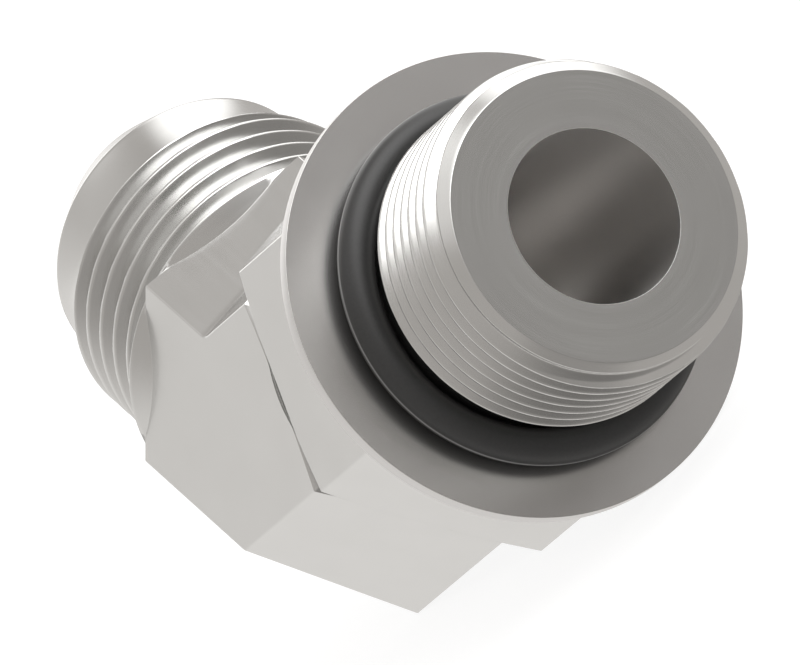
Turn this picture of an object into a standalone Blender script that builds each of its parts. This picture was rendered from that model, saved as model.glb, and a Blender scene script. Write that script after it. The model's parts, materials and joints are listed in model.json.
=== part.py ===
"""A 45 degree adjustable elbow adapter: 37 degree flare end, hexagonal elbow body,
and a straight-thread port stud with lock nut, backup washer and O-ring.

Local frame of the fitting: origin on the port seat plane (front of the backup washer),
+Z along the port stud, +X toward the inside of the bend, so the elbow lies in XZ.
"""

import math

import bmesh
import bpy
from mathutils import Matrix, Vector

MM = 0.001

# Elbow body
BEND = math.radians(45.0)            # change of direction between the two legs
BODY_ACROSS_FLATS = 27.0 * MM
VERTEX_DEPTH = 29.75 * MM            # port seat plane to where the two axes cross
SHOULDER_DEPTH = 17.4 * MM           # port seat plane to the end of the port leg's hexagon
SHOULDER_CHAMFER = math.radians(10.0)
RELIEF_WIDTH = 0.53 * MM             # turned recess round the root of the stud
RELIEF_DEPTH = 0.7 * MM
RELIEF_FLOOR = 0.2 * MM              # the recess narrows to this at the foot of its wall
VALLEY_FILLET = 1.6 * MM             # inside of the bend
BORE_DIAMETER = 14.0 * MM
DRILL_POINT = math.radians(118.0)

# Port stud, a 26.44 mm straight thread modelled at its major diameter
STUD_THREAD_DIAMETER = 26.44 * MM
STUD_REACH = 16.9 * MM               # port seat plane to the stud's end face
STUD_CHAMFER = 1.52 * MM             # 45 degree chamfer round the end face
GROOVE_DEPTH = 1.27 * MM             # O-ring groove behind the front thread, below its crests
GROOVE_FRONT = 5.1 * MM              # seat plane to the rear end of the front thread
GROOVE_REAR = 3.0 * MM               # seat plane back to the lock nut's thread

# Flare end, a 27 mm thread modelled at its major diameter
COLLAR_STEP = 1.35 * MM              # height of the collar over the flare thread
COLLAR_REACH = 12.5 * MM             # vertex to the end of the flare leg's hexagon
COLLAR_LIP = 0.2 * MM                # the turned rim stands this far past the hexagon
COLLAR_CONE = math.radians(45.0)
FLARE_THREAD_DIAMETER = 27.0 * MM
FLARE_THREAD_END = 23.75 * MM        # vertex to the end of the full thread
TIP_STEP = 1.8 * MM                  # plain lead in front of the thread, below its crests
TIP_REACH = 29.9 * MM                # vertex to the large end of the nose cone
NOSE_ANGLE = math.radians(37.0)
NOSE_LAND = 1.2 * MM                 # width of the flat end face round the bore

# Lock nut
NUT_WALL = 2.53 * MM                 # stud thread to the middle of a flat
NUT_THICKNESS = 11.3 * MM
NUT_CHAMFER = math.radians(20.0)
NUT_LAND = 0.6 * MM                  # middle of a flat to the circle where the chamfers start
THREAD_CLEARANCE = 0.08 * MM         # radial, nut bore over stud thread
NUT_COUNTERSINK = 0.8 * MM

# Backup washer and O-ring
WASHER_WIDTH = 5.18 * MM             # hole to rim
WASHER_THICKNESS = 1.2 * MM
WASHER_CLEARANCE = 0.25 * MM         # radial, washer hole over stud thread
WASHER_EDGE = 0.12 * MM
RING_SECTION = 2.9 * MM
CONTACT_GAP = 0.1 * MM               # left between pieces that press on each other

# Finish of the mesh
ROUND_STEPS = 64
RING_STEPS = 20
VALLEY_STEPS = 6


def leg_direction():
    """Unit vector from the elbow's vertex along the flare leg."""
    return Vector((math.sin(BEND), 0.0, -math.cos(BEND)))


def leg_turn():
    """Rotation that takes +Z onto the flare leg, keeping Y."""
    return Matrix.Rotation(math.pi - BEND, 4, "Y")


def vertex():
    return Vector((0.0, 0.0, -VERTEX_DEPTH))


def steel(name, colour, roughness, metallic):
    material = bpy.data.materials.new(name)
    material.use_nodes = True
    shader = material.node_tree.nodes["Principled BSDF"]
    shader.inputs["Base Color"].default_value = (*colour, 1.0)
    shader.inputs["Roughness"].default_value = roughness
    shader.inputs["Metallic"].default_value = metallic
    return material


def mesh_object(name, work, collection, material=None):
    """Turns a bmesh into an object in the given collection."""
    mesh = bpy.data.meshes.new(name)
    bmesh.ops.recalc_face_normals(work, faces=work.faces)
    work.to_mesh(mesh)
    work.free()
    thing = bpy.data.objects.new(name, mesh)
    collection.objects.link(thing)
    if material:
        mesh.materials.append(material)
    return thing


def turned(name, profile, collection, place=Matrix.Identity(4), material=None, steps=ROUND_STEPS):
    """A solid of revolution about local Z from (radius, height) points, listed top to bottom."""
    mesh = bpy.data.meshes.new(name)
    points = [(radius, 0.0, height) for radius, height in profile]
    mesh.from_pydata(points, [(i, i + 1) for i in range(len(points) - 1)], [])
    thing = bpy.data.objects.new(name, mesh)
    collection.objects.link(thing)
    screw = thing.modifiers.new("turn", "SCREW")
    screw.steps = steps
    screw.render_steps = steps
    screw.use_merge_vertices = True
    screw.merge_threshold = 1e-6
    thing.matrix_world = place
    if material:
        mesh.materials.append(material)
    return thing


def closed_turned(name, profile, collection, material=None, steps=ROUND_STEPS):
    """A ring: the profile runs down its outer side and back up its inner side."""
    return turned(name, [*profile, profile[0]], collection, material=material, steps=steps)


def helper(thing):
    thing.hide_render = True
    thing.display_type = "WIRE"
    return thing


def combine(thing, other, operation):
    cut = thing.modifiers.new(other.name, "BOOLEAN")
    cut.operation = operation
    cut.solver = "EXACT"
    cut.use_self = True  # a corner may lie right on an edge of the cutter, as the nut's do
    cut.object = helper(other)


def hex_prism(work, across_flats, bottom, top, place=Matrix.Identity(4)):
    """A hexagonal prism along local Z with a corner on local X."""
    radius = across_flats / math.sqrt(3.0)
    middle = Matrix.Translation((0.0, 0.0, (bottom + top) / 2))
    made = bmesh.ops.create_cone(
        work,
        cap_ends=True,
        segments=6,
        radius1=radius,
        radius2=radius,
        depth=top - bottom,
        matrix=place @ middle @ Matrix.Rotation(math.radians(30.0), 4, "Z"),
    )
    # create_cone starts on +Y, so a twelfth of a turn brings a corner onto X
    return made["verts"]


def keep_side(work, verts, point, normal):
    """Cuts the prism made of these vertices and drops what lies on the normal's side."""
    faces = {face for vert in verts for face in vert.link_faces}
    edges = {edge for vert in verts for edge in vert.link_edges}
    bmesh.ops.bisect_plane(
        work,
        geom=[*verts, *edges, *faces],
        dist=1e-7,
        plane_co=point,
        plane_no=normal,
        clear_outer=True,
    )


def hex_elbow(collection, material):
    """Two hexagonal legs mitred where their axes cross, with the inner valley filleted."""
    work = bmesh.new()
    away = (Vector((0.0, 0.0, 1.0)) - leg_direction()).normalized()
    port = hex_prism(work, BODY_ACROSS_FLATS, -2 * VERTEX_DEPTH, -SHOULDER_DEPTH + RELIEF_DEPTH)
    keep_side(work, port, vertex(), -away)
    kept = set(work.verts)
    flare_place = Matrix.Translation(vertex()) @ leg_turn()
    hex_prism(work, BODY_ACROSS_FLATS, -VERTEX_DEPTH, COLLAR_REACH, flare_place)
    keep_side(work, [v for v in work.verts if v not in kept], vertex(), away)
    bmesh.ops.remove_doubles(work, verts=work.verts, dist=1e-6)
    bmesh.ops.recalc_face_normals(work, faces=work.faces)
    mitre = [e for e in work.edges if all(abs((v.co - vertex()).dot(away)) < 1e-7 for v in e.verts)]
    flat = [e for e in mitre if e.calc_face_angle() < 1e-4]
    valley = [e for e in mitre if e not in flat and not e.is_convex]
    bmesh.ops.dissolve_edges(work, edges=flat, use_verts=False)
    bmesh.ops.bevel(
        work,
        geom=valley,
        offset=VALLEY_FILLET * math.tan(BEND / 2),
        segments=VALLEY_STEPS,
        profile=0.5,
        affect="EDGES",
    )
    return mesh_object("elbow_body", work, collection, material)


def shoulder_cutter(cutters):
    """Turns the end of the port leg's hexagon: a shallow chamfer and the relief recess."""
    top = -SHOULDER_DEPTH
    ring = STUD_THREAD_DIAMETER / 2 + RELIEF_WIDTH
    outside = BODY_ACROSS_FLATS
    edge = top - (outside - ring) * math.tan(SHOULDER_CHAMFER)
    profile = [
        (0.0, 0.0),
        (outside, 0.0),
        (outside, edge),
        (ring, top),
        (ring - RELIEF_WIDTH + RELIEF_FLOOR, top - RELIEF_DEPTH),
        (0.0, top - RELIEF_DEPTH),
    ]
    return turned("shoulder_cutter", profile, cutters)


def stud_core(cutters):
    """The port stud: end chamfer, front thread, O-ring groove and lock nut thread."""
    thread = STUD_THREAD_DIAMETER / 2
    groove = thread - GROOVE_DEPTH
    root = -SHOULDER_DEPTH - 4 * RELIEF_DEPTH
    profile = [
        (0.0, STUD_REACH),
        (thread - STUD_CHAMFER, STUD_REACH),
        (thread, STUD_REACH - STUD_CHAMFER),
        (thread, GROOVE_FRONT),
        (groove, GROOVE_FRONT - GROOVE_DEPTH),
        (groove, -GROOVE_REAR + GROOVE_DEPTH),
        (thread, -GROOVE_REAR),
        (thread, root),
        (0.0, root),
    ]
    return turned("stud_core", profile, cutters)


def flare_core(cutters):
    """The flare end: collar cone, thread, plain tip and nose cone, about the flare leg."""
    thread = FLARE_THREAD_DIAMETER / 2
    collar = thread + COLLAR_STEP
    tip = thread - TIP_STEP
    nose = BORE_DIAMETER / 2 + NOSE_LAND
    rim = COLLAR_REACH + COLLAR_LIP
    inside = tip * 0.9
    profile = [
        (0.0, TIP_REACH + (tip - nose) / math.tan(NOSE_ANGLE)),
        (nose, TIP_REACH + (tip - nose) / math.tan(NOSE_ANGLE)),
        (tip, TIP_REACH),
        (tip, FLARE_THREAD_END + TIP_STEP),
        (thread, FLARE_THREAD_END),
        (thread, rim),
        (collar, rim),
        (inside, rim - (collar - inside) / math.tan(COLLAR_CONE)),
        (0.0, rim - (collar - inside) / math.tan(COLLAR_CONE)),
    ]
    place = Matrix.Translation(vertex()) @ leg_turn()
    return turned("flare_core", profile, cutters, place)


def bore_cutter(name, reach, place, cutters):
    """A drilled hole from outside the leg's end to its drill point just past the vertex."""
    radius = BORE_DIAMETER / 2
    point = radius / math.tan(DRILL_POINT / 2)
    profile = [(0.0, reach), (radius, reach), (radius, 0.0), (0.0, -point)]
    return turned(name, profile, cutters, place)


def elbow_body(parts, cutters, material):
    body = hex_elbow(parts, material)
    at_vertex = Matrix.Translation(vertex())
    combine(body, shoulder_cutter(cutters), "DIFFERENCE")
    combine(body, stud_core(cutters), "UNION")
    combine(body, flare_core(cutters), "UNION")
    port_reach = VERTEX_DEPTH + 1.5 * STUD_REACH
    flare_reach = 1.5 * TIP_REACH
    combine(body, bore_cutter("port_bore", port_reach, at_vertex, cutters), "DIFFERENCE")
    flare_bore = bore_cutter("flare_bore", flare_reach, at_vertex @ leg_turn(), cutters)
    combine(body, flare_bore, "DIFFERENCE")
    return body


def lock_nut(parts, cutters, material):
    """A hexagonal nut whose corners are chamfered on both faces, bored over the stud thread."""
    top = -WASHER_THICKNESS - CONTACT_GAP
    bottom = top - NUT_THICKNESS
    work = bmesh.new()
    across_flats = STUD_THREAD_DIAMETER + 2 * NUT_WALL
    hex_prism(work, across_flats, bottom, top)
    nut = mesh_object("lock_nut", work, parts, material)
    ring = across_flats / 2 + NUT_LAND
    outside = across_flats
    drop = (outside - ring) * math.tan(NUT_CHAMFER)
    envelope = [
        (0.0, top + CONTACT_GAP),
        (ring, top + CONTACT_GAP),
        (ring, top),
        (outside, top - drop),
        (outside, bottom + drop),
        (ring, bottom),
        (ring, bottom - CONTACT_GAP),
        (0.0, bottom - CONTACT_GAP),
    ]
    combine(nut, turned("nut_envelope", envelope, cutters), "INTERSECT")
    hole = STUD_THREAD_DIAMETER / 2 + THREAD_CLEARANCE
    sink = NUT_COUNTERSINK
    bore = [
        (0.0, top + sink),
        (hole + 2 * sink, top + sink),
        (hole, top - sink),
        (hole, bottom + sink),
        (hole + 2 * sink, bottom - sink),
        (0.0, bottom - sink),
    ]
    combine(nut, turned("nut_bore", bore, cutters), "DIFFERENCE")
    return nut


def washer_radii():
    """Hole and rim of the backup washer, which has to pass over the stud's thread."""
    hole = STUD_THREAD_DIAMETER / 2 + WASHER_CLEARANCE
    return hole, hole + WASHER_WIDTH


def backup_washer(parts, material):
    inner, outer = washer_radii()
    edge = WASHER_EDGE
    bottom = -WASHER_THICKNESS
    profile = [
        (inner + edge, 0.0),
        (outer - edge, 0.0),
        (outer, -edge),
        (outer, bottom + edge),
        (outer - edge, bottom),
        (inner + edge, bottom),
        (inner, bottom + edge),
        (inner, -edge),
    ]
    return closed_turned("backup_washer", profile, parts, material, steps=96)


def o_ring(parts, material):
    """A torus seated in the groove, resting against the backup washer's front face."""
    tube = RING_SECTION / 2
    centre = STUD_THREAD_DIAMETER / 2 - GROOVE_DEPTH + CONTACT_GAP + tube
    height = CONTACT_GAP + tube
    turns = [2 * math.pi * i / RING_STEPS for i in range(RING_STEPS)]
    profile = [(centre + tube * math.sin(a), height + tube * math.cos(a)) for a in turns]
    return closed_turned("o_ring", profile, parts, material, steps=ROUND_STEPS)


def mitre_point(offset):
    """Where the port leg's surface line at this offset from the axis meets the mitre plane."""
    away = Vector((0.0, 0.0, 1.0)) - leg_direction()
    return vertex() + offset - Vector((0.0, 0.0, offset.dot(away) / away.z))


def lying_down():
    """Local direction that points down when the fitting lies on its outer mitre edge and washer rim.

    Rolling about the mitre edge turns the down direction from the port leg's outer flat
    to the flare leg's, and the washer's rear rim touches somewhere between.
    """
    corner = BODY_ACROSS_FLATS / math.sqrt(3.0)
    edge_end = mitre_point(Vector((-corner, 0.0, 0.0)))
    port_flat = Vector((-math.cos(math.radians(30.0)), -math.sin(math.radians(30.0)), 0.0))
    flare_flat = Matrix.Rotation(-BEND, 3, "Y") @ port_flat
    rim_radius = washer_radii()[1]
    rim_height = -WASHER_THICKNESS + WASHER_EDGE
    low, high = 0.0, 1.0
    for _ in range(60):
        part_way = (low + high) / 2
        down = port_flat.lerp(flare_flat, part_way).normalized()
        rim_reach = rim_radius * math.hypot(down.x, down.y) + rim_height * down.z
        if down.dot(edge_end) < rim_reach:
            low = part_way
        else:
            high = part_way
    return down


def rest_rotation():
    """World +Z is up at rest, and the port stud points along +X, seen from above."""
    up = -lying_down()
    stud = Vector((0.0, 0.0, 1.0))
    ahead = (stud - up * stud.dot(up)).normalized()
    return Matrix((ahead, up.cross(ahead), up)).to_4x4()


def lay_down(parts, cutters):
    """Lays the fitting at rest with its box's bottom centre at the world origin."""
    pose = bpy.data.objects.new("resting_pose", None)
    parts.objects.link(pose)
    pose.matrix_world = rest_rotation()
    for thing in [*parts.objects, *cutters.objects]:
        if thing != pose:
            thing.parent = pose
    bpy.context.view_layer.update()
    graph = bpy.context.evaluated_depsgraph_get()
    points = []
    for thing in parts.objects:
        if thing.type == "MESH":
            solid = thing.evaluated_get(graph)
            points += [solid.matrix_world @ v.co for v in solid.data.vertices]
    low = [min(p[i] for p in points) for i in range(3)]
    high = [max(p[i] for p in points) for i in range(3)]
    pose.location = (-(low[0] + high[0]) / 2, -(low[1] + high[1]) / 2, -low[2])
    return pose


def smooth(thing):
    thing.data.shade_smooth()
    thing.data.set_sharp_from_angle(angle=math.radians(30.0))


def main():
    for thing in list(bpy.data.objects):
        bpy.data.objects.remove(thing)
    parts = bpy.data.collections.new("elbow_adapter")
    cutters = bpy.data.collections.new("cutters")
    for collection in (parts, cutters):
        bpy.context.scene.collection.children.link(collection)
    body_steel = steel("plated_steel", (0.62, 0.61, 0.59), 0.42, 0.85)
    nut_steel = steel("nut_steel", (0.62, 0.61, 0.59), 0.40, 0.85)
    washer_steel = steel("washer_steel", (0.42, 0.41, 0.39), 0.50, 0.80)
    rubber = steel("black_rubber", (0.03, 0.03, 0.03), 0.55, 0.0)
    for thing in (
        elbow_body(parts, cutters, body_steel),
        lock_nut(parts, cutters, nut_steel),
        backup_washer(parts, washer_steel),
        o_ring(parts, rubber),
    ):
        smooth(thing)
    lay_down(parts, cutters)


main()
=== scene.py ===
# %% [markdown]
# # A 45 degree elbow adapter in plated steel
# This is a hydraulic fitting with four real pieces: a one-piece steel elbow, a lock nut, a flat
# backup washer and a rubber O-ring. All four are rings in the eyes of a topologist, because a hole
# goes right through each of them. So each one can be a single closed grid: the columns go round
# the hole, and the rows go out along the surface and come back through the bore. That gives clean
# meshes with no Boolean cuts, and the screw threads become a formula for the radius.

# %% Load the fixed frame
import json
import math

import bmesh
import bpy
import numpy as np
from mathutils import Matrix, Vector


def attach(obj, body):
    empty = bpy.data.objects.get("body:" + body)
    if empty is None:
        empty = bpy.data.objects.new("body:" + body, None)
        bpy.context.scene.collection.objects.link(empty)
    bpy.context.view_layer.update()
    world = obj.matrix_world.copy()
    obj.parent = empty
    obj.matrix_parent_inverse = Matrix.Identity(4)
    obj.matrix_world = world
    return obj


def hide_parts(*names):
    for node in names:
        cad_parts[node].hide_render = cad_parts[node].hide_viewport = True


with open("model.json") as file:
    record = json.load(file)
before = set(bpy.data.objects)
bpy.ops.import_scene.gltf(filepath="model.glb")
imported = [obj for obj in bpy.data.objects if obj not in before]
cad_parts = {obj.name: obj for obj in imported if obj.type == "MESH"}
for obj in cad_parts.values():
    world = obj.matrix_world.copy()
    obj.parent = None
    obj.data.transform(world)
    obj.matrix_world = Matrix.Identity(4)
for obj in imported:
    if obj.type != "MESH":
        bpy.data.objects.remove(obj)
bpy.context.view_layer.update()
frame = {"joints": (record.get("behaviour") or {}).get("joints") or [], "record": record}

# %% [markdown]
# ## Where the two legs lie
# The fitting rests on a table, so neither leg is parallel to a world axis. It is far easier to
# draw each leg along its own axis, in millimetres, and to place the points in the world at the
# end. The frame's joint and mounts give the directions: the nut turns about the stud's axis, a
# spanner flat faces sideways out of the bend, and the flare's end face looks along the other leg.

# %% Directions of the legs
MM = 0.001
VERTEX_DEPTH = 29.75  # seat plane to the point where the two axes cross
mounts = {mount["name"]: mount for mount in frame["record"]["mounts"]}
joints = {joint["name"]: joint for joint in frame["joints"]}


def unit(vector):
    """The vector divided by its own length."""
    return np.array(vector, float) / np.linalg.norm(vector)


def square_to(vector, axis):
    """What is left of a vector without its share along an axis, made one long."""
    return unit(np.array(vector) - np.dot(vector, axis) * axis)


stud_axis = -unit(joints["nut_turn"]["axis"])
side_axis = square_to(mounts["wrench_flat_upper"]["axis"], stud_axis)
inside_axis = np.cross(side_axis, stud_axis)
flare_axis = square_to(mounts["flare_nose_face"]["axis"], side_axis)
flare_inside_axis = np.cross(flare_axis, side_axis)
seat_centre = np.array(joints["nut_turn"]["pos_m"])
vertex = seat_centre - MM * VERTEX_DEPTH * stud_axis
BEND = math.acos(float(np.dot(-stud_axis, flare_axis)))
print("bend, degrees:", round(math.degrees(BEND), 3))


def in_port_leg(x, y, z):
    """World places of port leg points: x to the inside of the bend, z out along the stud."""
    return seat_centre + MM * (
        x[..., None] * inside_axis + y[..., None] * side_axis + z[..., None] * stud_axis
    )


def in_flare_leg(x, y, s):
    """World places of flare leg points, s counted from the vertex. This leg mirrors the other."""
    return vertex + MM * (
        x[..., None] * flare_inside_axis + y[..., None] * side_axis + s[..., None] * flare_axis
    )


# %% [markdown]
# ## Columns round a hexagonal leg
# A hexagon needs columns close together at its corners, where the real edge is slightly rounded
# by the tumbling that follows machining, and its round neighbours need them evenly spaced. One
# list of angles serves every part of the elbow, so that its round and its hexagonal stretches
# share their columns and join without a seam.

# %% Angles of the columns
SIXTH = math.radians(60.0)
NEAR_CORNER = (0.0, 0.25, 0.5, 0.75)  # degrees either side of a corner
FIRST_ON_FLAT = 1.1
COLUMNS_PER_FLAT = 23


def column_angles():
    """Angles round the axis: dense at the six corners and even on the flats."""
    flat = np.linspace(FIRST_ON_FLAT, 60.0 - FIRST_ON_FLAT, COLUMNS_PER_FLAT)
    sector = [*NEAR_CORNER, *(60.0 - np.array(NEAR_CORNER[1:])), *flat]
    sector = np.sort(np.radians(sector))
    return (np.arange(6)[:, None] * SIXTH + sector).ravel()


def hexagon_radius(angle, across_flats, corner_round):
    """Distance from the axis to a hexagon with rounded corners, one corner at angle 0.

    On a flat it is half the width across flats over the cosine of the angle from the flat's
    middle. Near a corner it is the far side of a small circle that touches both flats.
    """
    from_corner = np.abs((angle + SIXTH / 2) % SIXTH - SIXTH / 2)
    half = across_flats / 2
    centre = (half - corner_round) / math.cos(SIXTH / 2)
    end = math.atan2(
        corner_round * math.sin(SIXTH / 2), centre + corner_round * math.cos(SIXTH / 2)
    )
    on_flat = half / np.cos(SIXTH / 2 - from_corner)
    root = np.maximum(corner_round**2 - (centre * np.sin(from_corner)) ** 2, 0.0)
    on_corner = centre * np.cos(from_corner) + np.sqrt(root)
    return np.where(from_corner < end, on_corner, on_flat)


# %% [markdown]
# ## From a grid to a mesh
# Every piece is a grid of points whose last row joins its first and whose last column joins its
# first. Rows that run together, as where a chamfer fades out on a flat, are merged. The signed
# volume tells whether the faces point outwards, and the grid is turned over if they don't.
# What the finish needs is stored with each point: its place on the turned surface, and masks that
# say where the surface is rolled bar or a rough cut instead of turned metal. In the bore the rough
# cut mask also carries a paler tone, which is painted light that lifts the bore's shade.

# %% Closed grid to object
MERGE = 2e-7


def closed_grid(name, points, place, **masks):
    """Builds one watertight piece from points of shape (rows, columns, 3).

    Each mask is stored under its own name: a number from 0 to 1 for every point.
    """
    rows, columns = points.shape[:2]
    index = np.arange(rows * columns).reshape(rows, columns)
    right = np.roll(index, -1, axis=1)
    quads = np.stack([index, right, np.roll(right, -1, 0), np.roll(index, -1, 0)], -1)
    quads = quads.reshape(-1, 4)
    corner = points.reshape(-1, 3)[quads]
    crossing = np.cross(corner[:, 2] - corner[:, 0], corner[:, 3] - corner[:, 1])
    if np.einsum("ij,ij->", corner.mean(1), crossing) < 0:
        quads = quads[:, ::-1]
    mesh = bpy.data.meshes.new(name)
    mesh.from_pydata(points.reshape(-1, 3), [], quads.tolist())
    mesh.attributes.new("turned_place", "FLOAT_VECTOR", "POINT")
    mesh.attributes["turned_place"].data.foreach_set("vector", (MM * place).ravel())
    for mask, share in masks.items():
        mesh.attributes.new(mask, "FLOAT", "POINT")
        share = np.broadcast_to(share, (rows, columns))
        mesh.attributes[mask].data.foreach_set("value", share.ravel().astype(float))
    work = bmesh.new()
    work.from_mesh(mesh)
    bmesh.ops.remove_doubles(work, verts=work.verts, dist=MERGE)
    bmesh.ops.dissolve_degenerate(work, edges=work.edges, dist=MERGE)
    work.to_mesh(mesh)
    work.free()
    mesh.shade_smooth()
    piece = bpy.data.objects.new(name, mesh)
    bpy.context.scene.collection.objects.link(piece)
    triangles = sum(len(face.vertices) - 2 for face in mesh.polygons)
    print(name, "has", triangles, "triangles")
    return piece


RADIUS_SHARE = 0.6


def turned_place(radius, angle, height):
    """A point's place for turning marks: round the axis, and along the profile.

    The third number grows along the axis and falls away from it, so that it changes along
    cylinders, cones and end faces alike.
    """
    along = height - RADIUS_SHARE * radius
    return np.stack([radius * np.cos(angle), radius * np.sin(angle), along], -1)


# %% [markdown]
# ## Screw threads as a radius
# A thread is a helix: going once round, the tooth moves on by one pitch. So the height minus the
# pitch times the number of turns says where in the tooth a point lies. From a narrow crest flat
# the flanks fall at 60 degrees to each other, down to the root. Both ends of this fitting have
# right-hand threads. On the flare leg the angle is counted the other way round, because that leg
# is drawn as the mirror image of the port leg, and so its helix gets a minus sign.

# %% Thread radius
HALF_FLANK_ANGLE = math.radians(30.0)
HALF_CREST = 1 / 16  # of the pitch, on either side of a crest's middle
FIRST_BITE = 0.35  # turns over which a groove comes to its full depth


def smooth_step(value):
    """0 below 0, 1 above 1, and an even S between them."""
    value = np.clip(value, 0.0, 1.0)
    return value * value * (3.0 - 2.0 * value)


def thread_radius(height, turns, pitch, crest, depth, start, first_groove=None):
    """Radius of a 60 degree thread whose crest passes through the height start at turn 0.

    A groove that begins at first_groove, counted in turns, deepens over the first bite.
    """
    along = (height - start) / pitch - turns
    from_crest = np.abs(along - np.round(along)) * pitch
    flank = depth * math.tan(HALF_FLANK_ANGLE)
    fall = np.clip((from_crest - pitch * HALF_CREST) / flank, 0, 1)
    if first_groove is not None:
        fall = fall * smooth_step((np.floor(along) + turns - first_groove) / FIRST_BITE)
    return crest - depth * fall


# %% [markdown]
# ## The port stud
# The stud screws into a straight-thread port. Its thread is cut in one pass, the O-ring groove is
# turned through it, and the chamfer at the end lets the tool run in. So the outline is the
# smaller of two radii at every point: the turned envelope and the thread. Where the thread's
# groove meets the chamfer, that rule alone makes the dark crescent that real studs show.

# %% Sizes of the stud
BORE = 7.0
STUD_REACH = 16.9
STUD_CREST = 13.22
STUD_CHAMFER = 1.52
STUD_PITCH = 1.6
STUD_THREAD_DEPTH = 0.92
STUD_START = 6.725  # height of a crest where the angle is 0
THREAD_RUN_OUT = 0.9  # height over which the rear thread fades at the shoulder
GROOVE_RADIUS = 11.95
GROOVE_FRONT = 5.1
GROOVE_REAR = -3.0
SHOULDER = -17.4
RELIEF_RADIUS = 13.75
RELIEF_FOOT = 13.42
RELIEF_DEPTH = 0.7
EDGE_BREAK = 0.03
MOUTH_EDGE = 0.005  # the bore's edge at the stud is almost sharp
EDGE_ROW = 0.05
THREAD_ROW = 0.075
REAR_ROW = 0.1
GROOVE_ROWS = (3.4, 1.0, -1.0, -1.6)
REAR_START = -1.7
COVERED = (-5.0, -13.0)  # under the nut wherever it is, but for the ends

BODY_FLATS = 27.0
BODY_ROUND = 0.1
angles = column_angles()
hexagon = hexagon_radius(angles, BODY_FLATS, BODY_ROUND)
turns = angles / (2 * math.pi)
print("columns:", len(angles))

end_face_edge = STUD_CREST - STUD_CHAMFER
chamfer_foot = STUD_REACH - STUD_CHAMFER
front_foot = GROOVE_FRONT - (STUD_CREST - GROOVE_RADIUS)
rear_foot = GROOVE_REAR + (STUD_CREST - GROOVE_RADIUS)


def stud_envelope(height):
    """Turned outline of the stud before the thread is cut, with 45 degree walls."""
    heights = [GROOVE_REAR, rear_foot, front_foot, GROOVE_FRONT]
    radii = [STUD_CREST, GROOVE_RADIUS, GROOVE_RADIUS, STUD_CREST]
    chamfer = end_face_edge + STUD_REACH - height
    return np.minimum(np.interp(height, heights, radii), chamfer)


def stud_surface(height, angle):
    """Radius of the finished stud."""
    fade = smooth_step((height - SHOULDER) / THREAD_RUN_OUT)
    cut = thread_radius(
        height, angle / (2 * math.pi), STUD_PITCH, STUD_CREST, STUD_THREAD_DEPTH * fade, STUD_START
    )
    return np.minimum(stud_envelope(height), cut)


# %% [markdown]
# ## Rows of a profile
# A profile is a list of (height, radius) pairs, and either number may differ from column to
# column. Two close rows beside each edge keep the shading crisp, the way a real edge break does.

# %% Rows to grids
def rows(*pairs):
    """Stacks (height, radius) pairs into a grid of heights and a grid of radii."""
    heights = np.array([np.broadcast_to(height, angles.shape) for height, _ in pairs])
    radii = np.array([np.broadcast_to(radius, angles.shape) for _, radius in pairs])
    return heights, radii


def surface_rows(heights, radius_of):
    """Rows at the given heights, with the radius worked out for each height and angle."""
    heights = np.repeat(np.array(heights)[:, None], len(angles), axis=1)
    return heights, radius_of(heights, angles[None, :])


def stack(*grids):
    """Puts several grids of rows one after another."""
    return tuple(np.concatenate([grid[i] for grid in grids]) for i in (0, 1))


# %% Port leg rows, from the bore's mouth to the shoulder
stud_end = rows(
    (STUD_REACH - 4 * MOUTH_EDGE, BORE),
    (STUD_REACH - MOUTH_EDGE, BORE),
    (STUD_REACH, BORE + MOUTH_EDGE),
    (STUD_REACH, BORE + 4 * MOUTH_EDGE),
    (STUD_REACH, (BORE + end_face_edge) / 2),
    (STUD_REACH, end_face_edge - 2 * EDGE_BREAK),
    (STUD_REACH, end_face_edge - EDGE_BREAK / 2),
    (STUD_REACH - EDGE_BREAK / 2, end_face_edge),
)
front_thread = surface_rows(
    [
        *np.arange(STUD_REACH - 2 * EDGE_ROW, chamfer_foot - 2 * EDGE_ROW, -EDGE_ROW),
        *np.arange(chamfer_foot - 2.6 * EDGE_ROW, front_foot - THREAD_ROW, -THREAD_ROW),
    ],
    stud_surface,
)
groove = surface_rows(GROOVE_ROWS, stud_surface)
rear_thread = surface_rows(
    [
        *np.arange(REAR_START, COVERED[0], -REAR_ROW),
        *np.arange(COVERED[0], COVERED[1], -3 * REAR_ROW),
        *np.arange(COVERED[1], SHOULDER - 0.5, -2 * REAR_ROW),
    ],
    stud_surface,
)

# %% [markdown]
# ## The shoulder
# A form tool turns a shallow recess round the root of the stud. Its wall leans outwards, and at
# the top it is a little wider than the hexagon is across its flats. So in the middle of each
# flat the wall runs out through the side and leaves a low arc. Every column follows the same
# rule: the wall climbs until it meets either the full circle or the hexagon, whichever is nearer.

# %% Shoulder rows
CHAMFER_SLOPE = math.tan(math.radians(10.0))
WALL_SLOPE = RELIEF_DEPTH / (RELIEF_RADIUS - RELIEF_FOOT)
relief_floor = SHOULDER - RELIEF_DEPTH
rim_radius = np.minimum(RELIEF_RADIUS, hexagon)
rim_height = SHOULDER - (RELIEF_RADIUS - rim_radius) * WALL_SLOPE


def chamfer_height(radius):
    """The shallow cone outside the rim falls by its slope times the distance from the rim."""
    return rim_height - (radius - rim_radius) * CHAMFER_SLOPE


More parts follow.
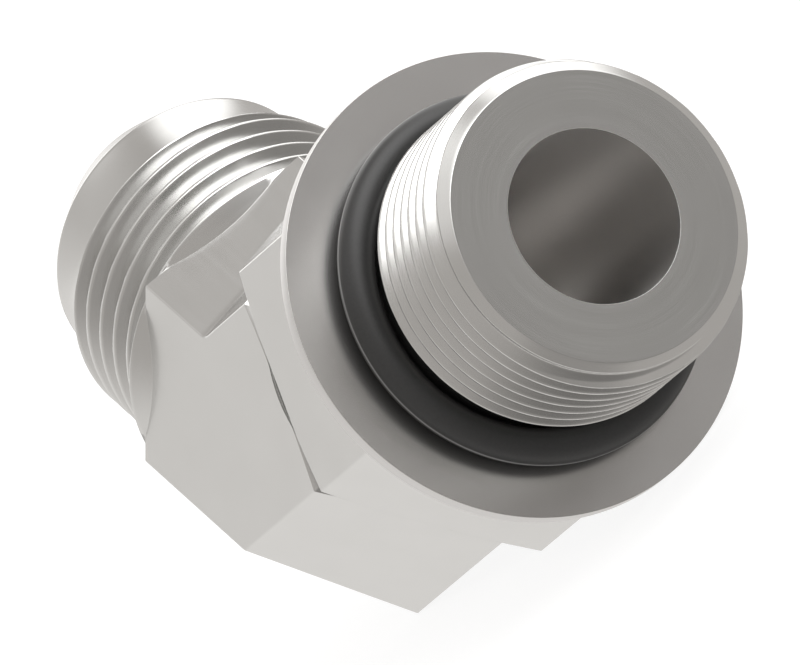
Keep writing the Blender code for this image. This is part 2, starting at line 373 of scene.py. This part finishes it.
past_rim = np.minimum(rim_radius + EDGE_ROW, hexagon)
before_corner = np.maximum(hexagon - EDGE_BREAK, past_rim)
shoulder = rows(
    (relief_floor + EDGE_ROW, STUD_CREST),
    (relief_floor, STUD_CREST + EDGE_ROW),
    (relief_floor, RELIEF_FOOT - EDGE_ROW / 2),
    (relief_floor + EDGE_ROW, RELIEF_FOOT + EDGE_ROW / WALL_SLOPE),
    (rim_height - EDGE_ROW, rim_radius - EDGE_ROW / WALL_SLOPE),
    (rim_height, rim_radius),
    (chamfer_height(past_rim), past_rim),
    (chamfer_height(before_corner), before_corner),
    (chamfer_height(hexagon) - EDGE_BREAK, hexagon),
    (chamfer_height(hexagon) - 3 * EDGE_BREAK, hexagon),
)

# %% [markdown]
# ## Round the bend
# Each column of the port leg is a straight line that meets its mirror image on the mitre plane.
# An arc of its own rounds the corner between the two lines. On the inside of the bend its radius
# is the 1.6 mm fillet that the cutter leaves in the valley. On the outside it is a slight edge
# break, and on the flat sides the arc lies within the face and so doesn't show.

# %% Bend rows, as world points
VALLEY_FILLET = 1.6
RIDGE_ROUND = 0.3
BEND_ROWS = 9
BEND_SUPPORT = 0.25  # from each end of the arcs to a row that holds the flats straight
HALF_BEND_SLOPE = math.tan(BEND / 2)
hexagon_x = hexagon * np.cos(angles)
hexagon_y = hexagon * np.sin(angles)
mitre = hexagon_x * HALF_BEND_SLOPE
inside_share = smooth_step(0.5 + hexagon_x / BODY_FLATS)
bend_radius = RIDGE_ROUND + (VALLEY_FILLET - RIDGE_ROUND) * inside_share
trim = bend_radius * HALF_BEND_SLOPE
leg_support = rows((mitre + trim - VERTEX_DEPTH + BEND_SUPPORT, hexagon))


def bend_points():
    """Points on each column's arc, from the port leg's direction to the flare leg's."""
    turn = np.linspace(0.0, BEND, BEND_ROWS)[:, None]
    x = hexagon_x + bend_radius * (1 - np.cos(turn))
    z = mitre + trim - VERTEX_DEPTH - bend_radius * np.sin(turn)
    y = np.broadcast_to(hexagon_y, x.shape)
    return in_port_leg(x, y, z)


# %% [markdown]
# ## The flare leg
# Seen from the bend, the hexagon runs into a collar that was turned with a 45 degree back, then
# comes the thread for the flare nut, a plain lead, and the 37 degree nose that the flared tube
# seals on. The cone leaves a flat where it is as wide as the hexagon, so every column works out
# the height of that crossing for itself, and the curved edges on the flats come out sharp.

# %% Sizes of the flare leg
COLLAR_REACH = 12.5
COLLAR_RADIUS = 14.85
COLLAR_LIP = 0.2
FLARE_CREST = 13.5
FLARE_PITCH = 2.117
FLARE_DEPTH = 1.2
FLARE_START = 15.97  # distance from the vertex to a crest where the angle is 0
FIRST_GROOVE = -1.65  # turns from that crest to where the tool first bites, behind the collar
THREAD_END = 23.85
TIP_RADIUS = 11.7
TIP_REACH = 29.9
NOSE_SLOPE = math.tan(math.radians(37.0))
NOSE_LAND = 1.2
TIP_SUPPORT = 0.3
NOSE_SUPPORT = 0.4
TIP_BREAK = (0.07, 0.05)  # height and radius from the lead's edge to the nose's first row
NOSE_BREAK = (0.06, 0.04)  # height and radius from the nose's last row to its edge
BORE_SUPPORT = 0.15
FLARE_BORE_ROWS = (18.0, 9.0)
PORT_BORE_ROWS = (-20.0, -5.0, 8.0)


def collar_radius(height):
    """The wider of the hexagon and the collar's 45 degree cone."""
    return np.maximum(hexagon, COLLAR_RADIUS - (COLLAR_REACH + COLLAR_LIP - height))


def flare_surface(height, angle):
    """Radius of the threaded end, from the collar's face to the plain lead."""
    envelope = np.clip(FLARE_CREST + THREAD_END - height, TIP_RADIUS, FLARE_CREST)
    cut = thread_radius(
        height,
        -angle / (2 * math.pi),
        FLARE_PITCH,
        FLARE_CREST,
        FLARE_DEPTH,
        FLARE_START,
        FIRST_GROOVE,
    )
    return np.minimum(envelope, cut)


# %% Flare leg rows, from the bend to the bore's mouth
nose_edge = BORE + NOSE_LAND
nose_reach = TIP_REACH + (TIP_RADIUS - nose_edge) / NOSE_SLOPE
lead_start = THREAD_END + FLARE_CREST - TIP_RADIUS
rim = COLLAR_REACH + COLLAR_LIP
cone_end = COLLAR_RADIUS - COLLAR_LIP
crossing = np.minimum(rim - (COLLAR_RADIUS - hexagon), COLLAR_REACH - 4 * EDGE_BREAK)
collar_steps = [crossing + step * EDGE_BREAK for step in (-0.5, -0.1, 0.1, 0.5)]
collar_steps.append((crossing + 2 * COLLAR_REACH) / 3)
collar_steps.append(COLLAR_REACH - EDGE_BREAK)
collar_rows = rows(*[(height, collar_radius(height)) for height in collar_steps])
at_end = collar_radius(COLLAR_REACH)
flare_leg = stack(
    rows((mitre + trim + BEND_SUPPORT, hexagon)),
    collar_rows,
    rows(
        (COLLAR_REACH, np.maximum(at_end - EDGE_BREAK, cone_end)),
        (COLLAR_REACH, np.maximum(at_end - 3 * EDGE_BREAK, cone_end)),
        (COLLAR_REACH, cone_end),
        (rim - EDGE_ROW, COLLAR_RADIUS - EDGE_ROW),
        (rim, COLLAR_RADIUS - EDGE_ROW),
        (rim, COLLAR_RADIUS - 4 * EDGE_ROW),
        (rim, FLARE_CREST + 4 * EDGE_ROW),
        (rim + EDGE_ROW, FLARE_CREST),
    ),
    surface_rows(
        np.arange(rim + 2 * EDGE_ROW, lead_start + 2 * EDGE_ROW, THREAD_ROW), flare_surface
    ),
    rows(
        (TIP_REACH - TIP_SUPPORT, TIP_RADIUS),
        (TIP_REACH - EDGE_ROW, TIP_RADIUS),
        (TIP_REACH + TIP_BREAK[0], TIP_RADIUS - TIP_BREAK[1]),
        (TIP_REACH + NOSE_SUPPORT, TIP_RADIUS - NOSE_SUPPORT * NOSE_SLOPE),
        (nose_reach - NOSE_SUPPORT, nose_edge + NOSE_SUPPORT * NOSE_SLOPE),
        (nose_reach - NOSE_BREAK[0], nose_edge + NOSE_BREAK[1]),
        (nose_reach, nose_edge - EDGE_ROW),
        (nose_reach, nose_edge - 4 * EDGE_ROW),
        (nose_reach, BORE + 2 * EDGE_BREAK),
        (nose_reach, BORE + EDGE_BREAK),
        (nose_reach - EDGE_BREAK, BORE),
        (nose_reach - 3 * EDGE_BREAK, BORE),
        *[(height, BORE) for height in FLARE_BORE_ROWS],
    ),
)

# %% [markdown]
# ## The drilled bores
# The bore is drilled from both ends, and each drill stops at the vertex with its 118 degree
# point just past it. On the inside of the bend the two cylinders meet on the mitre plane. On the
# outside a column first follows the drill's point and reaches the mitre plane on that cone, at
# the radius where the cone's height equals the plane's.

# %% Bore rows
POINT_SLOPE = 1 / math.tan(math.radians(59.0))
bore_x = BORE * np.cos(angles)
bore_end = np.maximum(bore_x * HALF_BEND_SLOPE, 0.0)
outside = np.minimum(np.cos(angles), 0.0)
meeting_radius = BORE * POINT_SLOPE / (POINT_SLOPE - outside * HALF_BEND_SLOPE)
meeting_height = bore_end - (BORE - meeting_radius) * POINT_SLOPE
bore_in = rows((bore_end + BORE_SUPPORT, BORE), (bore_end, BORE))
bore_meeting = rows((meeting_height, meeting_radius))
bore_out = rows(
    (bore_end - VERTEX_DEPTH, BORE),
    (bore_end + BORE_SUPPORT - VERTEX_DEPTH, BORE),
    *[(height, BORE) for height in PORT_BORE_ROWS],
)

# %% Join the rows into the elbow
port_grid = stack(stud_end, front_thread, groove, rear_thread, shoulder, leg_support)
flare_grid = stack(flare_leg, bore_in, bore_meeting)


def leg_points(grid, place):
    """World points of a leg's rows, with place either in_port_leg or in_flare_leg."""
    height, radius = grid
    return place(radius * np.cos(angles), radius * np.sin(angles), height)


def leg_places(grid):
    """Turned places of a leg's rows."""
    return turned_place(grid[1], angles[None, :], grid[0])


body_points = np.concatenate(
    [
        leg_points(port_grid, in_port_leg),
        bend_points(),
        leg_points(flare_grid, in_flare_leg),
        leg_points(bore_out, in_port_leg),
    ]
)
bend_rows = np.broadcast_to(leg_places(leg_support), (BEND_ROWS, len(angles), 3))
body_places = np.concatenate(
    [leg_places(port_grid), bend_rows, leg_places(flare_grid), leg_places(bore_out)]
)
port_rows = len(port_grid[0])
flare_bore_row = port_rows + BEND_ROWS + len(flare_leg[0]) - len(FLARE_BORE_ROWS)
# The hexagon has the last three rows of the port leg, the bend and the flare leg's first three
on_hexagon = np.zeros(body_points.shape[:2])
on_hexagon[port_rows - 3 : port_rows + BEND_ROWS + 3] = 1.0
# The bore has the port leg's first two rows and everything from the flare's bore rows on
in_bore = np.zeros(body_points.shape[:2])
in_bore[:2] = 1.0
in_bore[flare_bore_row:] = 1.0
# The bore's mask also gives it a paler tone, which is painted light.
elbow = closed_grid(
    "elbow_body_finished", body_points, body_places, rolled=on_hexagon, rough_cut=in_bore
)
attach(elbow, "elbow")
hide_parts("elbow_body")

# %% [markdown]
# ## The lock nut
# The nut is turned from hexagonal bar. Its corners are chamfered at 20 degrees where a cone cuts
# them, which leaves the curved edges on the flats. Its thread follows the stud's own formula with
# a small clearance, so the two mesh, and stay in mesh while the nut is screwed back.

# %% Lock nut
NUT_FLATS = 31.5
NUT_ROUND = 0.1
NUT_FRONT = -1.3
NUT_THICKNESS = 11.3
NUT_LAND = 0.6
NUT_SLOPE = math.tan(math.radians(20.0))
NUT_CLEARANCE = 0.09
COUNTERSINK = 0.8
NUT_BORE_LEAST = 12.5
NUT_THREAD_ROW = 0.15
NUT_FIRST_ROW = 0.06
nut_rear = NUT_FRONT - NUT_THICKNESS
nut_hexagon = hexagon_radius(angles, NUT_FLATS, NUT_ROUND)
nut_ring = np.minimum(NUT_FLATS / 2 + NUT_LAND, nut_hexagon - EDGE_BREAK)
nut_drop = np.maximum(nut_hexagon - NUT_FLATS / 2 - NUT_LAND, 0.0) * NUT_SLOPE
nut_mouth = STUD_CREST + NUT_CLEARANCE + COUNTERSINK


def nut_bore(height, angle):
    """Radius of the nut's thread, opened out to a 45 degree countersink at both faces."""
    cut = thread_radius(
        height, angle / (2 * math.pi), STUD_PITCH, STUD_CREST, STUD_THREAD_DEPTH, STUD_START
    )
    to_face = np.minimum(NUT_FRONT - height, height - nut_rear)
    return np.maximum(np.maximum(cut + NUT_CLEARANCE, NUT_BORE_LEAST), nut_mouth - to_face)


nut_top = rows(
    (NUT_FRONT, nut_mouth + EDGE_ROW),
    (NUT_FRONT, nut_mouth + 5 * EDGE_ROW),
    (NUT_FRONT, nut_ring - 4 * EDGE_ROW),
    (NUT_FRONT, nut_ring),
    (NUT_FRONT - nut_drop, nut_hexagon - EDGE_BREAK),
    (NUT_FRONT - nut_drop - EDGE_BREAK, nut_hexagon),
    (NUT_FRONT - nut_drop - 3 * EDGE_BREAK, nut_hexagon),
)
nut_bottom = tuple(grid[::-1] for grid in nut_top)
nut_bottom = (NUT_FRONT + nut_rear - nut_bottom[0], nut_bottom[1])
nut_thread = surface_rows(
    np.arange(nut_rear + NUT_FIRST_ROW, NUT_FRONT - EDGE_ROW, NUT_THREAD_ROW), nut_bore
)
nut_grid = stack(nut_top, nut_bottom, nut_thread)
# Two rows at the end of the top and two at the start of the bottom lie on the flats
nut_rolled = np.zeros(nut_grid[0].shape)
nut_rolled[5:9] = 1.0
nut = closed_grid(
    "lock_nut_finished",
    leg_points(nut_grid, in_port_leg),
    leg_places(nut_grid),
    rolled=nut_rolled,
    rough_cut=0.0,
)
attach(nut, "nut")
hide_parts("lock_nut")

# %% [markdown]
# ## The backup washer and the O-ring
# The washer is a stamped flat ring whose edges are rounded a little by the press, and its rim is
# rough where the punch sheared it. The O-ring is moulded nitrile rubber. A fine parting line runs
# round its inside and outside, where the two halves of the mould met. Both are round, so they get
# evenly spaced columns.

# %% Round rings
ROUND_COLUMNS = 240
WASHER_THICKNESS = 1.2
WASHER_HOLE = 13.47
WASHER_RIM = 18.65
WASHER_EDGE = 0.025
CORNER_STEPS = 5
angles = np.linspace(0.0, 2 * math.pi, ROUND_COLUMNS, endpoint=False)


def rounded_corner(height, radius, start):
    """(height, radius) pairs on a quarter circle about a corner's centre, from angle start."""
    turn = start + np.linspace(0.0, math.pi / 2, CORNER_STEPS)
    return [(height + WASHER_EDGE * math.sin(t), radius + WASHER_EDGE * math.cos(t)) for t in turn]


washer_low = -WASHER_THICKNESS + WASHER_EDGE
washer_grid = rows(
    *rounded_corner(-WASHER_EDGE, WASHER_RIM - WASHER_EDGE, 0.0),
    (0.0, WASHER_RIM - 2 * WASHER_EDGE),
    (0.0, WASHER_HOLE + 2 * WASHER_EDGE),
    *rounded_corner(-WASHER_EDGE, WASHER_HOLE + WASHER_EDGE, math.pi / 2),
    *rounded_corner(washer_low, WASHER_HOLE + WASHER_EDGE, math.pi),
    (-WASHER_THICKNESS, WASHER_HOLE + 3 * WASHER_EDGE),
    (-WASHER_THICKNESS, WASHER_RIM - 3 * WASHER_EDGE),
    *rounded_corner(washer_low, WASHER_RIM - WASHER_EDGE, 1.5 * math.pi),
)
# The first and the last row lie on the rim
washer_cut = np.zeros(washer_grid[0].shape)
washer_cut[[0, -1]] = 1.0
washer = closed_grid(
    "backup_washer_finished",
    leg_points(washer_grid, in_port_leg),
    leg_places(washer_grid),
    rolled=0.0,
    rough_cut=washer_cut,
)
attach(washer, "washer")
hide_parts("backup_washer")

# %% O-ring
RING_TUBE = 1.45
RING_CENTRE = 13.5
RING_HEIGHT = 1.55
RING_ROWS = 120
FLASH_HEIGHT = 0.03
FLASH_WIDTH = 0.06  # radians round the tube
round_tube = np.linspace(0.0, 2 * math.pi, RING_ROWS, endpoint=False)
from_line = np.abs((round_tube + math.pi / 2) % math.pi - math.pi / 2)
flash = np.exp(-((from_line / FLASH_WIDTH) ** 2))
tube = RING_TUBE + FLASH_HEIGHT * flash
ring_grid = rows(
    *zip(RING_HEIGHT + tube * np.sin(round_tube), RING_CENTRE + tube * np.cos(round_tube))
)
# The flash profile raises the parting line and also marks where the rubber gets a painted
# highlight.
ring = closed_grid(
    "o_ring_finished",
    leg_points(ring_grid, in_port_leg),
    leg_places(ring_grid),
    flash=flash[:, None],
)
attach(ring, "elbow")
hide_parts("o_ring")

# %% [markdown]
# ## Materials from nodes
# A material is a small network of nodes. One function adds a node, sets it and links it, and
# another turns a web colour into the linear values that the renderer works in.

# %% Node and colour helpers
def linear(hex_colour):
    """A six digit sRGB hex colour as linear red, green, blue and alpha."""
    value = np.array([int(hex_colour[i : i + 2], 16) for i in (1, 3, 5)]) / 255
    curve = np.where(value <= 0.04045, value / 12.92, ((value + 0.055) / 1.055) ** 2.4)
    return (*curve.tolist(), 1.0)


def add_node(tree, kind, inputs=None, **settings):
    """Adds a node. An input is a value, or another node's output to link from."""
    node = tree.nodes.new(kind)
    for name, value in settings.items():
        setattr(node, name, value)
    for socket, value in (inputs or {}).items():
        if isinstance(value, bpy.types.NodeSocket):
            tree.links.new(value, node.inputs[socket])
        else:
            node.inputs[socket].default_value = value
    return node


def per_mm(size):
    """Texture scale whose features are about this many millimetres apart."""
    return 1.0 / (MM * size)


# %% [markdown]
# ## Plated steel
# Hydraulic fittings are turned from free-cutting steel and plated with zinc or zinc-nickel. The
# plating is a satin metal, pale and slightly warm, with a fine grain. The lathe leaves faint
# rings on turned surfaces, and the rolled bar keeps faint lines along its flats. Both are one
# noise that is stretched in the direction the metal was worked. The drilled bore is rougher and
# is given a paler tone, which is painted light that lifts the shade deep in the bore, and the
# punch leaves the washer's rim rough and dull.

# %% Plated steel
GRAIN = 0.16
CLOUD = 5.0
CLOUD_SHARE = 0.6
LEAST_PALE = 0.2
TURNING_MARK = 0.11
TURNING_LENGTH = 12.0
ROLLING_MARK = 0.3
ROLLING_LENGTH = 14.0
GRAIN_RELIEF = 0.5
ROUGHNESS_SPREAD = 0.05
CUT_ROUGHNESS = 0.18
RELIEF_STRENGTH = 0.03
RELIEF_HEIGHT = 0.01


def worked_marks(tree):
    """Noise drawn out round the axis on turned metal, and along the bar on rolled metal."""
    place = add_node(tree, "ShaderNodeAttribute", attribute_name="turned_place")
    rolled = add_node(tree, "ShaderNodeAttribute", attribute_name="rolled")
    stretches = (
        (TURNING_LENGTH, TURNING_LENGTH, TURNING_MARK),
        (ROLLING_MARK, ROLLING_MARK, ROLLING_LENGTH),
    )
    noises = []
    for stretch in stretches:
        scaled = add_node(
            tree,
            "ShaderNodeVectorMath",
            {0: place.outputs["Vector"], 1: [per_mm(length) for length in stretch]},
            operation="MULTIPLY",
        )
        noise = add_node(
            tree, "ShaderNodeTexNoise", {"Vector": scaled.outputs[0], "Scale": 1.0, "Detail": 3.0}
        )
        noises.append(noise.outputs["Fac"])
    marks = add_node(
        tree,
        "ShaderNodeMix",
        {"Factor": rolled.outputs["Fac"], 2: noises[0], 3: noises[1]},
        data_type="FLOAT",
    )
    return marks.outputs[0]


def multiply_add(tree, value, factor, addend):
    """The value times the factor, plus the addend."""
    node = add_node(
        tree, "ShaderNodeMath", {0: value, 1: factor, 2: addend}, operation="MULTIPLY_ADD"
    )
    return node.outputs[0]


def plated_steel(name, tones, cut_tone_and_painted_light, roughness, grain_strength, mark_strength):
    """Satin plated metal with turning rings, rolling lines, grain and soft clouds."""
    material = bpy.data.materials.new(name)
    material.use_nodes = True
    tree = material.node_tree
    shader = tree.nodes["Principled BSDF"]
    marks = worked_marks(tree)
    rough_cut = add_node(tree, "ShaderNodeAttribute", attribute_name="rough_cut").outputs["Fac"]
    here = add_node(tree, "ShaderNodeTexCoord").outputs["Object"]
    grain = add_node(
        tree, "ShaderNodeTexNoise", {"Vector": here, "Scale": per_mm(GRAIN), "Detail": 2.0}
    ).outputs["Fac"]
    cloud = add_node(
        tree, "ShaderNodeTexNoise", {"Vector": here, "Scale": per_mm(CLOUD), "Detail": 3.0}
    ).outputs["Fac"]
    mottle = multiply_add(tree, cloud, CLOUD_SHARE, LEAST_PALE)
    speck = multiply_add(tree, grain, grain_strength, mottle)
    colour = add_node(
        tree,
        "ShaderNodeMix",
        {"Factor": speck, 6: linear(tones[0]), 7: linear(tones[1])},
        data_type="RGBA",
    )
    # In the bore the cut tone is painted light: a paler colour that lifts the bore's shade.
    tone = add_node(
        tree,
        "ShaderNodeMix",
        {"Factor": rough_cut, 6: colour.outputs[2], 7: linear(cut_tone_and_painted_light)},
        data_type="RGBA",
    )
    spread = ROUGHNESS_SPREAD * mark_strength
    rough = add_node(
        tree,
        "ShaderNodeMapRange",
        {"Value": marks, "To Min": roughness - spread, "To Max": roughness + spread},
    )
    rough = multiply_add(tree, rough_cut, CUT_ROUGHNESS, rough.outputs[0])
    relief = multiply_add(tree, marks, mark_strength, 0.0)
    relief = multiply_add(tree, grain, GRAIN_RELIEF, relief)
    bump = add_node(
        tree,
        "ShaderNodeBump",
        {"Strength": RELIEF_STRENGTH, "Distance": RELIEF_HEIGHT * MM, "Height": relief},
    )
    tree.links.new(tone.outputs[2], shader.inputs["Base Color"])
    tree.links.new(rough, shader.inputs["Roughness"])
    tree.links.new(bump.outputs[0], shader.inputs["Normal"])
    shader.inputs["Metallic"].default_value = 1.0
    return material


PLATED = ("#C7C7C5", "#D2D2D1")
STAMPED = ("#BCBAB8", "#D1D0CF")
# The elbow's paler cut tone is painted light in its bore.
elbow.data.materials.append(plated_steel("plated_steel", PLATED, "#E8E6E4", 0.22, 0.4, 1.0))
nut.data.materials.append(plated_steel("plated_bar_steel", PLATED, "#E8E6E4", 0.22, 0.4, 1.0))
washer.data.materials.append(
    plated_steel("dull_stamped_steel", STAMPED, "#D0CFCE", 0.26, 0.6, 0.1)
)

# %% [markdown]
# ## Nitrile rubber
# O-ring rubber is filled with carbon black. It is nearly black with a soft sheen from the mould,
# and along its raised parting line it is given a paler grey, which is a painted highlight.

# %% Nitrile rubber
SKIN = 0.2
SKIN_STRENGTH = 0.15
SKIN_HEIGHT = 0.01
RUBBER_ROUGHNESS = 0.45


def nitrile_rubber():
    """Black moulded rubber with a very fine pitted skin."""
    material = bpy.data.materials.new("nitrile_rubber")
    material.use_nodes = True
    tree = material.node_tree
    shader = tree.nodes["Principled BSDF"]
    here = add_node(tree, "ShaderNodeTexCoord").outputs["Object"]
    skin = add_node(
        tree, "ShaderNodeTexNoise", {"Vector": here, "Scale": per_mm(SKIN), "Detail": 3.0}
    )
    colour = add_node(
        tree,
        "ShaderNodeMix",
        {"Factor": skin.outputs["Fac"], 6: linear("#242424"), 7: linear("#303030")},
        data_type="RGBA",
    )
    # The pale grey along the parting line is a painted highlight.
    flash = add_node(tree, "ShaderNodeAttribute", attribute_name="flash")
    colour = add_node(
        tree,
        "ShaderNodeMix",
        {"Factor": flash.outputs["Fac"], 6: colour.outputs[2], 7: linear("#8C8C8C")},
        data_type="RGBA",
    )
    bump = add_node(
        tree,
        "ShaderNodeBump",
        {"Strength": SKIN_STRENGTH, "Distance": SKIN_HEIGHT * MM, "Height": skin.outputs["Fac"]},
    )
    tree.links.new(colour.outputs[2], shader.inputs["Base Color"])
    tree.links.new(bump.outputs[0], shader.inputs["Normal"])
    shader.inputs["Roughness"].default_value = RUBBER_ROUGHNESS
    return material


ring.data.materials.append(nitrile_rubber())

# %% [markdown]
# ## The camera
# The picture is nearly a parallel projection, so the camera stands far off with a very long lens.
# Its direction is written along the fitting's own axes, which keeps the view right even if the
# way the fitting lies on the table changes by a degree.

# %% Camera
CAMERA_DISTANCE = 2.3709
LENS = 1400.0
AIM_RIGHT = -8.751  # mm from the seat's centre to the middle of the picture
AIM_UP = -3.675
TOWARDS_CAMERA = (-0.1786, 0.4300, 0.8850)  # shares inside the bend, to the side, out of the stud
UP_IN_PICTURE = (0.9214, -0.2425, 0.3037)


def along_axes(inside, side, stud):
    """A world direction from its shares along the fitting's own three axes."""
    return unit(inside * inside_axis + side * side_axis + stud * stud_axis)


towards = along_axes(*TOWARDS_CAMERA)
picture_up = square_to(along_axes(*UP_IN_PICTURE), towards)
picture_right = np.cross(picture_up, towards)
aim = seat_centre + MM * (AIM_RIGHT * picture_right + AIM_UP * picture_up)
camera_data = bpy.data.cameras.new("camera")
camera_data.lens = LENS
camera_data.clip_start = 0.1
camera_data.clip_end = 10.0
camera = bpy.data.objects.new("camera", camera_data)
bpy.context.scene.collection.objects.link(camera)
placed = Matrix([*zip(picture_right, picture_up, towards)]).to_4x4()
placed.translation = Vector(aim + CAMERA_DISTANCE * towards)
camera.matrix_world = placed
bpy.context.scene.camera = camera
print("camera looks down by", round(math.degrees(math.asin(towards[2])), 1), "degrees")

# %% [markdown]
# ## The light
# Metal shows what it mirrors, so a product photographer lights steel with large soft boxes and
# lets the rest of the studio fall to grey. Here the world is that studio: an even level, and on
# top of it soft boxes. Each is a direction with an inner and an outer angle. The light is full
# inside the one, nothing outside the other, and eases between them. A black flag works the same
# way but takes light from the even level, as photographers do to darken a reflection. The even
# level is a little warm and the boxes are white. The camera itself sees plain white.

# %% Soft boxes
EVEN_LEVEL = 0.545
EVEN_TINT = (1.0, 0.955, 0.91, 1.0)
WHITE = (1.0, 1.0, 1.0, 1.0)
# Each light: its direction as shares to the right, up and towards the camera, then its inner and
# outer angle in degrees, and its strength
SOFT_BOXES = (
    ((0.04, 0.88, -0.47), 16, 29, 1.35),
    ((-0.45, 0.18, -0.87), 13, 22, 1.10),
    ((0.00, 0.88, 0.47), 20, 38, 3.00),
    ((-0.70, 0.60, 0.38), 14, 38, 0.43),
    ((-0.25, -0.75, -0.60), 20, 75, 0.42),
    ((-0.95, 0.30, -0.10), 10, 44, 0.15),
)
BLACK_FLAGS = (
    ((0.75, 0.15, 0.65), 20, 54, -0.25),
    ((0.36, -0.66, 0.66), 12, 36, -0.17),
)


def lit(tree, direction, level, lights):
    """The level in a direction, with the share of each light added to it."""
    for (right, up, forward), inner, outer, strength in lights:
        middle = unit(right * picture_right + up * picture_up + forward * towards)
        near = add_node(
            tree,
            "ShaderNodeVectorMath",
            {0: direction, 1: middle.tolist()},
            operation="DOT_PRODUCT",
        )
        share = add_node(
            tree,
            "ShaderNodeMapRange",
            {
                "Value": near.outputs["Value"],
                "From Min": math.cos(math.radians(outer)),
                "From Max": math.cos(math.radians(inner)),
                "To Max": strength,
            },
            interpolation_type="SMOOTHSTEP",
        )
        level = add_node(
            tree, "ShaderNodeMath", {0: share.outputs[0], 1: level}, operation="ADD"
        ).outputs[0]
    return level


def soft_box_studio():
    """World light: the flagged even level plus the soft boxes, and white for the camera."""
    world = bpy.data.worlds.new("soft_box_studio")
    bpy.context.scene.world = world
    world.use_nodes = True
    tree = world.node_tree
    tree.nodes.clear()
    direction = add_node(tree, "ShaderNodeTexCoord").outputs["Generated"]
    even_level = lit(tree, direction, EVEN_LEVEL, BLACK_FLAGS)
    box_level = lit(tree, direction, 0.0, SOFT_BOXES)
    even = add_node(tree, "ShaderNodeBackground", {"Color": EVEN_TINT, "Strength": even_level})
    boxes = add_node(tree, "ShaderNodeBackground", {"Color": WHITE, "Strength": box_level})
    studio = add_node(tree, "ShaderNodeAddShader", {0: even.outputs[0], 1: boxes.outputs[0]})
    seen = add_node(tree, "ShaderNodeBackground", {"Color": WHITE, "Strength": 1.0})
    rays = add_node(tree, "ShaderNodeLightPath")
    mixed = add_node(
        tree,
        "ShaderNodeMixShader",
        {0: rays.outputs["Is Camera Ray"], 1: studio.outputs[0], 2: seen.outputs[0]},
    )
    add_node(tree, "ShaderNodeOutputWorld", {"Surface": mixed.outputs[0]})


soft_box_studio()
bpy.context.scene.view_settings.view_transform = "Standard"

# %% [markdown]
# ## The floor
# The fitting lies on a white table. The picture's background is pure white, so the table glows a
# little for the camera, on top of the light it scatters, and keeps a faint soft shadow. Rays
# that bounce off polished metal pass through it and find the studio's soft boxes instead, just
# as the product stands on a glass table with light from all round.

# %% Floor
FLOOR_HALF = 0.5
PAPER = 0.22
GLOW = 0.86


def pale_floor():
    """A square floor whose glow, for the camera only, brings it up to white."""
    mesh = bpy.data.meshes.new("floor")
    ends = (-FLOOR_HALF, FLOOR_HALF)
    corners = [(ends[i], ends[j], 0.0) for i, j in ((0, 0), (1, 0), (1, 1), (0, 1))]
    mesh.from_pydata(corners, [], [(0, 1, 2, 3)])
    floor = bpy.data.objects.new("floor", mesh)
    bpy.context.scene.collection.objects.link(floor)
    material = bpy.data.materials.new("white_glass_table")
    material.use_nodes = True
    tree = material.node_tree
    tree.nodes.clear()
    rays = add_node(tree, "ShaderNodeLightPath")
    paper = add_node(tree, "ShaderNodeBsdfDiffuse", {"Color": (PAPER, PAPER, PAPER, 1.0)})
    glow = add_node(tree, "ShaderNodeEmission", {"Strength": GLOW})
    both = add_node(tree, "ShaderNodeAddShader", {0: paper.outputs[0], 1: glow.outputs[0]})
    clear = add_node(tree, "ShaderNodeBsdfTransparent")
    table = add_node(
        tree,
        "ShaderNodeMixShader",
        {0: rays.outputs["Is Glossy Ray"], 1: both.outputs[0], 2: clear.outputs[0]},
    )
    add_node(tree, "ShaderNodeOutputMaterial", {"Surface": table.outputs[0]})
    mesh.materials.append(material)


pale_floor()
